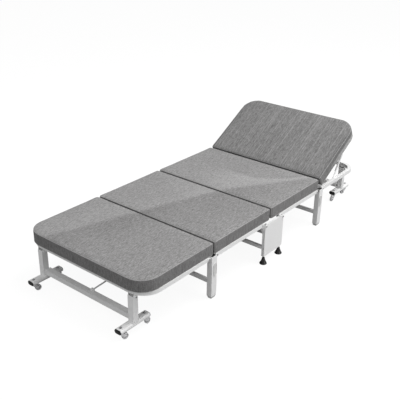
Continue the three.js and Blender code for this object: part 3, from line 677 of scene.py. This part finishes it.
def mattress_pad(name, node, x0, x1, z0, z1, half, r0, r1, seed, cover, place=None):
    """A foam pad in a sewn cover, drawn level: plan x0 to x1 by half each way, z0 to z1."""
    small = PAD_SHRINK
    build = Build()
    outline = pad_plan(x0 + small, x1 - small, half - small, r0 - small, r1 - small)
    build.prism(outline, z0 - PAD_FLAT, z1 - small, PAD_EDGE, steps=4)
    pad = build.object(name, [cover, HIGHLIGHT_WELT])
    remesh = pad.modifiers.new("voxels", "REMESH")
    remesh.mode = "VOXEL"
    remesh.voxel_size = VOXEL * 1
    applied(pad)
    rest = coords(pad.data)
    push = simulated(pad) - rest
    reach = np.linalg.norm(push, axis=1, keepdims=True) + 1e-12
    push *= PAD_SWELL * np.tanh(reach / PAD_SWELL) / reach
    set_coords(pad.data, rest + push)
    finer = pad.modifiers.new("finer", "SUBSURF")
    finer.subdivision_type = "SIMPLE"
    finer.levels = 1
    soften = pad.modifiers.new("soften", "SMOOTH")
    soften.factor = 0.5
    soften.iterations = 2
    applied(pad)
    co = coords(pad.data)
    top = smoothstep(co[:, 2], (z0 + z1) / 2, z1 - 0.25 * (z1 - z0))
    edge = np.minimum(np.minimum(co[:, 0] - x0, x1 - co[:, 0]), half - np.abs(co[:, 1]))
    co[:, 2] += WAVE_HEIGHT * waves(co, seed) * top * smoothstep(edge, 4 * MM, 50 * MM)
    co[:, 2] = np.clip(co[:, 2], z0, z1 + 0.6 * PAD_SWELL)
    set_coords(pad.data, co)
    add_welts(pad, x0, x1, z0, z1, half, r0, r1, cover)
    store_rest(pad.data)
    pad.data.polygons.foreach_set("use_smooth", [True] * len(pad.data.polygons))
    if place:
        pad.data.transform(place)
    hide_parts(node)
    return pad


def add_welts(pad, x0, x1, z0, z1, half, r0, r1, cover):
    """Sewn-in cords round the top and bottom edges and the seam ends, laid on the swollen cover; their
    lighter cloth is a painted highlight along the edges.
    """
    surface = BVHTree.FromPolygons(
        [v.co.copy() for v in pad.data.vertices], [list(p.vertices) for p in pad.data.polygons]
    )
    plan = spaced(pad_plan(x0, x1, half, r0, r1), CORD_STEP)
    loops = [[(x, y, z) for x, y in plan] for z in (z1 + PAD_SWELL, z0)]
    end_face = [(-half, z0), (half, z0), (half, z1 + PAD_SWELL), (-half, z1 + PAD_SWELL)]
    for x, r in ((x0, r0), (x1, r1)):
        if r == PAD_SMALL_CORNER:
            loops.append([(x, y, z) for y, z in spaced(end_face, CORD_STEP)])
    cords = Build()
    for loop in loops:
        path = np.array([surface.find_nearest(Vector(point))[0] for point in loop])
        for _ in range(3):
            path = (np.roll(path, 1, 0) + 2 * path + np.roll(path, -1, 0)) / 4
        cords.loop_tube(path, WELT_R)
    mesh = pad.data
    joined = Build()
    joined.verts = [tuple(v.co) for v in mesh.vertices]
    joined.faces = [list(p.vertices) for p in mesh.polygons]
    joined.slots = [0] * len(joined.faces)
    joined.add(cords.verts, cords.faces, None, 1)
    finished = bpy.data.meshes.new(pad.name)
    finished.from_pydata(joined.verts, [], joined.faces)
    for m in (cover, HIGHLIGHT_WELT):
        finished.materials.append(m)
    finished.polygons.foreach_set("material_index", joined.slots)
    pad.data = finished
    finished.update()


def store_rest(mesh):
    """Keeps each point's own place and normal for the cover's pattern."""
    co = coords(mesh)
    normals = np.empty(len(mesh.vertices) * 3, np.float32)
    mesh.vertices.foreach_get("normal", normals)
    for label, values in (("rest_co", co.astype(np.float32).ravel()), ("rest_n", normals)):
        mesh.attributes.new(label, "FLOAT_VECTOR", "POINT").data.foreach_set("vector", values)


def backrest_place():
    """From the backrest's own level frame, with its hinge at the origin, to the bed's frame."""
    hinge = joints["backrest_tilt"]
    tilt = math.radians(-hinge["range_deg"][0])
    turn = Matrix.Rotation(-tilt, 4, "Y")
    return Matrix.Translation(Vector(hinge["pos_m"])) @ turn


def make_pads():
    foot, foot_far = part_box("foot_mattress")
    low, high, half = foot.z - PAD_SAG, foot_far.z, foot_far.y + PAD_OVERHANG
    corner, tight = PAD_CORNER, PAD_SMALL_CORNER
    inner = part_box("foot_inner_mattress")[0].x
    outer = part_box("head_inner_mattress")[1].x
    seam_low = MIDDLE_SEAM - PAD_GAP / 2
    seam_high = MIDDLE_SEAM + PAD_GAP / 2
    start = foot.x - PAD_FOOT_OVERHANG
    spans = [
        ("foot_pad", "foot_mattress", start, foot_far.x, corner, tight, "foot_section"),
        ("foot_middle_pad", "foot_inner_mattress", inner, seam_low, tight, tight, "foot_inner_section"),
        ("head_middle_pad", "head_inner_mattress", seam_high, outer, tight, tight, "head_inner_section"),
    ]
    for seed, (name, node, x0, x1, r0, r1, body) in enumerate(spans):
        pad = mattress_pad(name, node, x0, x1, low, high, half, r0, r1, seed, COVER)
        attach(pad, body)
    place = backrest_place()
    local = np.array([place.inverted() @ v.co for v in nodes["backrest_mattress"].data.vertices])
    far, under, over = local[:, 0].max() + PAD_HEAD_OVERHANG, local[:, 2].min(), local[:, 2].max()
    cover = shaded_back_cover((under + over) / 2)
    size = (BACK_START, far, under, over, half, tight, corner)
    pad = mattress_pad("backrest_pad", "backrest_mattress", *size, BACK_SEED, cover, place)
    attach(pad, "backrest")


# ---------------------------------------------------------------- bolts and nuts
def dome_bolt(build, place):
    """Low domed head with a round key socket, standing along local Z."""
    r, sunk = BOLT_HEAD_R, 0.5 * MM
    high = 0.45 * r
    dome = [(r, -sunk), (r, 0.4 * high), (0.86 * r, 0.75 * high), (0.6 * r, high)]
    socket = [(0.4 * r, high), (0.4 * r, 0.3 * high), (0, 0.3 * high)]
    build.lathe([(0, -sunk)] + dome + socket, place, 0, 24)


def hex_nut(build, place, r, high, slot=0):
    build.prism(regular(6, r), 0, high, 0.5 * MM, place, slot)


def pivot(joint_name):
    return Vector(joints[joint_name]["pos_m"])


def bolt_set(name, body, points):
    """Bolts facing outwards on both sides, at (x, |y|, z)."""
    build = Build()
    for x, y, z in points:
        for s in (-1, 1):
            dome_bolt(build, look_along((x, s * y, z), (0, s, 0)))
    obj = build.object(name, [BOLT_STEEL])
    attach(obj, body)


def make_bolts():
    post_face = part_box("stand_frame")[1].y
    rail_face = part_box("foot_inner_frame")[1].y + LEG_HEAD
    upright_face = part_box("foot_end_leg")[1].y + HANGER_HEAD
    pins = [pivot("foot_inner_fold"), pivot("head_inner_fold")]
    bolt_set("stand_bolts", "stand", [(p.x, post_face, p.z) for p in pins])
    for half in ("foot", "head"):
        pins = [pivot(f"{half}_middle_leg_fold"), pivot(f"{half}_section_fold")]
        bolt_set(f"{half}_leg_bolts", f"{half}_middle_leg", [(p.x, rail_face, p.z) for p in pins])
        pin = pivot(f"{half}_end_leg_fold")
        bolt_set(f"{half}_hanger_bolts", f"{half}_section", [(pin.x, upright_face, pin.z)])


# ---------------------------------------------------------------- plugs and caps
def flat_oval(wide, tall, grow=0.0):
    """Outline of a flat oval, wide and tall each way from its middle."""
    r, reach = tall + grow, wide - tall
    return arc(reach, 0, r, -90, 90, 10) + arc(-reach, 0, r, 90, 270, 10)


def rail_cap(half, label, inner):
    """Black flanged cap on one end of a foot rail."""
    leg_low, leg_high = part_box(f"{half}_end_leg")
    low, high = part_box(f"{half}_rail_plug_{label}")
    centre = (low + high) / 2
    wide, tall = (high.y - low.y) / 2, (high.z - low.z) / 2
    outward = -1 if (half == "foot") != inner else 1
    end = leg_high.x if outward > 0 else leg_low.x
    place = look_along((end, centre.y, centre.z), (outward, 0, 0))
    place @= Matrix.Rotation(upright_angle(place), 4, "Z")
    build = Build()
    build.prism(flat_oval(wide, tall, 1.5 * MM), 0.2 * MM, 2 * MM, 0.8 * MM, place)
    if not inner:
        build.prism(flat_oval(wide, tall), -9 * MM, 0.2 * MM, 0.5 * MM, place)
    obj = build.object(f"rail_cap_{half}_{label}_{'inner' if inner else 'outer'}", [BLACK_PLASTIC])
    if not inner:
        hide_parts(f"{half}_rail_plug_{label}")
    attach(obj, f"{half}_end_leg")


def leg_plugs(half):
    """Black inserts that close the open tops of one middle leg's posts."""
    build = Build()
    middle = sum(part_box(f"{half}_leg_keeper_left"), Vector()) / 2
    for s in (-1, 1):
        y0, y1 = sorted((s * LEG_PLUG_IN, s * LEG_PLUG_OUT))
        x0, x1 = middle.x - LEG_PLUG_HALF, middle.x + LEG_PLUG_HALF
        outline = [(x0, y0), (x1, y0), (x1, y1), (x0, y1)]
        build.prism(outline, LEG_PLUG_TOP - LEG_PLUG_HIGH, LEG_PLUG_TOP, 0.8 * MM)
    obj = build.object(f"{half}_leg_plugs", [BLACK_PLASTIC])
    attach(obj, f"{half}_middle_leg")


def make_plugs_and_caps():
    for half in ("foot", "head"):
        leg_plugs(half)
        for label in ("left", "right"):
            for inner in (False, True):
                rail_cap(half, label, inner)


def upright_angle(place):
    """Turn about local Z that lays local X level, across the bed."""
    across = place.to_3x3().inverted() @ Vector((0, 1, 0))
    return math.atan2(across.y, across.x)


# ---------------------------------------------------------------- castors
WHEEL_R = 15 * MM
WHEEL_HALF = 6.5 * MM
TREAD_ROUND = 2.4 * MM
HOUSING_R = 11 * MM
HOUSING_HIGH = 9 * MM
HOUSING_DROP = 22.6 * MM  # from the foot rail's top to the housing's
CHEEK_GAP = WHEEL_HALF + 0.7 * MM  # from the wheel's middle to either cheek
CHEEK_TOP = {"x": 1 * MM, "z": 31.5 * MM, "r": 6.5 * MM}
CHEEK_LOW_R = 5.2 * MM
CHEEK_THICK = 2.2 * MM
STEM_R = 3.9 * MM
NUT_HIGH = 3 * MM
NUT_R = 5.4 * MM
WASHER_R = 6.4 * MM
WASHER_HIGH = 0.8 * MM


def castor_housing(build, turn, under):
    """Swivel housing, with the bridge that joins the cheeks under it."""
    r, soft = HOUSING_R, 1.5 * MM
    low = under - HOUSING_HIGH
    bottom = [(0, low), (8 * MM, low), (r - soft, low + 3 * MM), (r, low + 3 * MM + soft)]
    build.lathe(bottom + [(r, under - 1 * MM), (r - 1 * MM, under), (0, under)], turn)
    gap = CHEEK_GAP
    bridge = [(-4 * MM, -gap), (7 * MM, -gap), (7 * MM, gap), (-4 * MM, gap)]
    build.prism(bridge, low, low + 5 * MM, 0, turn)


def castor_cheeks(build, turn, trail):
    """The two cheeks and the axle with its domed caps."""
    side_on = turn @ Matrix.Rotation(math.pi / 2, 4, "X")
    cheek = capsule(CHEEK_TOP["x"], CHEEK_TOP["z"], CHEEK_TOP["r"], trail, WHEEL_R, CHEEK_LOW_R)
    for low in (CHEEK_GAP, -CHEEK_GAP - CHEEK_THICK):
        build.prism(cheek, low, low + CHEEK_THICK, 0.7 * MM, side_on)
    reach = CHEEK_GAP + CHEEK_THICK
    cap = [(0, -reach - 1.2 * MM), (2.4 * MM, -reach - 1.2 * MM), (3.4 * MM, -reach), (3 * MM, -CHEEK_GAP)]
    axle = turn @ Matrix.Translation((trail, 0, WHEEL_R)) @ Matrix.Rotation(math.pi / 2, 4, "X")
    build.lathe(cap + [(r, -h) for r, h in reversed(cap)], axle, 1, 20)


def castor_stem(build, turn, seat):
    """Stem through the foot rail, its washer and nut; seat is the height of the rail's top."""
    low = seat - HOUSING_DROP - 2 * MM
    high = seat + NUT_HIGH
    stem = [(0, low), (STEM_R, low), (STEM_R, high), (STEM_R - 1 * MM, high + 1 * MM), (0, high + 1 * MM)]
    build.lathe(stem, turn, 1, 20)
    washer = [(0, seat), (WASHER_R, seat), (WASHER_R, seat + WASHER_HIGH), (0, seat + WASHER_HIGH)]
    build.lathe(washer, turn, 1, 24)
    nut = turn @ Matrix.Translation((0, 0, seat + WASHER_HIGH - 0.1 * MM))
    hex_nut(build, nut, NUT_R, NUT_HIGH, 1)


def castor_fork(name, label, at, heading, trail):
    """Swivel housing, two cheeks and axle caps, with the stem's nut on top of the rail."""
    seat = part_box(f"castor_fork_{label}")[1].z - NUT_HIGH
    turn = Matrix.Translation((at.x, at.y, 0)) @ Matrix.Rotation(heading, 4, "Z")
    build = Build()
    castor_housing(build, turn, seat - HOUSING_DROP)
    castor_cheeks(build, turn, trail)
    castor_stem(build, turn, seat)
    obj = build.object(name, [CASTOR_BODY, ZINC])
    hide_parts(f"castor_fork_{label}")
    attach(obj, f"castor_swivel_{label}")


def castor_wheel(name, label, centre, axis):
    """Moulded wheel: rounded tyre, dished web and hub."""
    place = look_along(centre, axis)
    w, bore, dish = WHEEL_HALF, 3.3 * MM, 2.4 * MM
    hub = [(bore, w), (5.6 * MM, w), (6.2 * MM, w - 0.6 * MM), (6.8 * MM, w - dish)]
    web = [(10.2 * MM, w - dish), (11 * MM, w - 0.5 * MM)]
    tread = arc(WHEEL_R - TREAD_ROUND, w - TREAD_ROUND, TREAD_ROUND, 90, 0, 5)
    rim = hub + web + tread
    ring = [(r, -h) for r, h in rim] + rim[::-1] + [(bore, -w)]
    build = Build()
    build.lathe(ring, place, 0, 48)
    obj = build.object(name, [CASTOR_TYRE], crease=50)
    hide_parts(f"castor_wheel_{label}")
    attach(obj, f"castor_wheel_{label}")


def make_castors():
    for body in frame["bodies"]:
        if not body.startswith("castor_swivel_"):
            continue
        label = body.removeprefix("castor_swivel_")
        at = pivot(f"castor_swivel_{label}_turn")
        wheel = joints[f"castor_wheel_{label}_spin"]
        centre = Vector(wheel["pos_m"])
        out = centre - at
        trail = math.hypot(out.x, out.y)
        castor_fork(f"fork_{label}", label, at, math.atan2(out.y, out.x), trail)
        castor_wheel(f"wheel_{label}", label, centre, wheel["axis"])


# ---------------------------------------------------------------- levelling feet
def cone_profile(r):
    """Turned outline of a foot: flat pad, hollow flank and collar, up to where the stem starts."""
    floor = [(0, 0.6 * MM), (r - 5 * MM, 0.6 * MM), (r - 4.4 * MM, 0), (r - 1 * MM, 0)]
    rim = [(r, 1 * MM), (r, CONE_RIM - 1.2 * MM), (r - 0.8 * MM, CONE_RIM)]
    flank = []
    for i in range(1, 8):
        t = i / 8
        bow = CONE_HOLLOW * math.sin(math.pi * t)
        flank_r = (r - 0.8 * MM) * (1 - t) + CONE_TOP_R * t - bow
        flank.append((flank_r, CONE_RIM + (CONE_TOP - CONE_RIM) * t))
    collar = [(CONE_TOP_R, CONE_TOP), (8.6 * MM, 26 * MM), (8.2 * MM, 28 * MM), (7 * MM, COLLAR_TOP)]
    return floor + rim + flank + collar + [(0, COLLAR_TOP)]


def make_levelling_feet():
    """Glossy black cones on threaded stems, each with a lock nut on its collar."""
    for body in frame["bodies"]:
        if not body.startswith("levelling_foot_"):
            continue
        low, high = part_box(body)
        centre = (low + high) / 2
        place = Matrix.Translation((centre.x, centre.y, 0))
        build = Build()
        build.lathe(cone_profile((high.x - low.x) / 2), place, 0, 48)
        stem = [(0, THREAD_FROM)]
        for i in range(int((high.z - THREAD_FROM) / THREAD_PITCH)):
            z = THREAD_FROM + i * THREAD_PITCH
            stem += [(THREAD_R[0], z), (THREAD_R[1], z + THREAD_PITCH / 2)]
        build.lathe(stem + [(0, high.z - THREAD_PITCH)], place, 0, 20)
        nut = Matrix.Translation((centre.x, centre.y, LOCK_NUT["z"]))
        hex_nut(build, nut, LOCK_NUT["r"], LOCK_NUT["high"])
        obj = build.object(f"cone_{body}", [BLACK_PLASTIC])
        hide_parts(body)
        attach(obj, body)


# ---------------------------------------------------------------- weld beads
def weld_ring(build, centre, half_u, half_v, axis):
    """A bead round the end of a rectangular bar that meets a post; axis is the bar's direction."""
    frame_u = Vector((0, 0, 1)) if abs(axis.z) < 0.5 else Vector((1, 0, 0))
    frame_v = axis.cross(frame_u)
    outline = [(half_u, half_v), (-half_u, half_v), (-half_u, -half_v), (half_u, -half_v)]
    path = []
    for i, (u, v) in enumerate(spaced(outline, 3 * MM)):
        ripple = BEAD_RIPPLE * math.sin(2.1 * i)
        path.append(centre + frame_u * (u + ripple) + frame_v * (v + ripple) + axis * ripple)
    build.loop_tube(path, BEAD_R, 6)


def weld_pair(name, body, side, at, half):
    """Beads at both ends of one cross bar; side is -1 for the foot half and 1 for the head half."""
    beads = Build()
    for y in (-1, 1):
        centre = Vector((side * at[0], y * at[1], at[2]))
        weld_ring(beads, centre, *half, Vector((0, 1, 0)))
    obj = beads.object(name, [WHITE_STEEL])
    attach(obj, body)


def make_welds():
    for half, side in (("foot", -1), ("head", 1)):
        weld_pair(f"{half}_leg_welds", f"{half}_middle_leg", side, LEG_WELD_AT, LEG_WELD_HALF)
        weld_pair(f"{half}_end_leg_welds", f"{half}_end_leg", side, END_WELD_AT, END_WELD_HALF)


# ---------------------------------------------------------------- room
def aim(obj, at, target):
    obj.location = at
    obj.rotation_euler = (Vector(target) - Vector(at)).to_track_quat("-Z", "Y").to_euler()


def make_camera():
    heading, down = math.radians(CAMERA_HEADING), math.radians(CAMERA_DOWN)
    level = math.cos(down)
    ahead = Vector((level * math.cos(heading), level * math.sin(heading), -math.sin(down)))
    right = ahead.cross(Vector((0, 0, 1))).normalized()
    up = right.cross(ahead)
    roll = math.radians(CAMERA_ROLL)
    turned = right * math.cos(roll) + up * math.sin(roll)
    upright = up * math.cos(roll) - right * math.sin(roll)
    data = bpy.data.cameras.new("camera")
    data.lens = CAMERA_LENS
    data.sensor_width = CAMERA_SENSOR
    data.clip_end = 100
    camera = bpy.data.objects.new("camera", data)
    scene.collection.objects.link(camera)
    place = Matrix((turned, upright, -ahead)).transposed().to_4x4()
    place.translation = CAMERA_AT
    camera.matrix_world = place
    scene.camera = camera


def area_light(name, at, target, size, watts):
    data = bpy.data.lights.new(name, "AREA")
    data.shape = "SQUARE"
    data.size = size
    data.energy = watts
    lamp = bpy.data.objects.new(name, data)
    scene.collection.objects.link(lamp)
    aim(lamp, at, target)


def make_room():
    floor = Build()
    wide = FLOOR_HALF
    floor.add([(-wide, -wide, 0), (wide, -wide, 0), (wide, wide, 0), (-wide, wide, 0)], [[0, 1, 2, 3]])
    obj = floor.object("floor", [pale_floor()])
    obj.location.z = -FLOOR_DROP
    world = bpy.data.worlds.new("studio")
    scene.world = world
    world.use_nodes = True
    tree = world.node_tree
    sky = tree.nodes["Background"]
    sky.inputs[0].default_value = (1, 1, 1, 1)
    sky.inputs[1].default_value = WORLD_LIGHT
    seen = tree.nodes.new("ShaderNodeBackground")
    seen.inputs[1].default_value = 1.0
    seen.inputs[0].default_value = (1, 1, 1, 1)
    path = tree.nodes.new("ShaderNodeLightPath")
    mix = tree.nodes.new("ShaderNodeMixShader")
    tree.links.new(path.outputs["Is Camera Ray"], mix.inputs[0])
    tree.links.new(sky.outputs[0], mix.inputs[1])
    tree.links.new(seen.outputs[0], mix.inputs[2])
    tree.links.new(mix.outputs[0], tree.nodes["World Output"].inputs[0])
    for lamp in LIGHTS:
        area_light(*lamp)
    scene.view_settings.view_transform = "Standard"


# ---------------------------------------------------------------- the bed
for part in frame["record"]["subparts"]:
    dress_cad_node(part["node"], part["material_slot"])
make_pads()
make_bolts()
make_plugs_and_caps()
make_castors()
make_levelling_feet()
make_welds()
make_room()
make_camera()
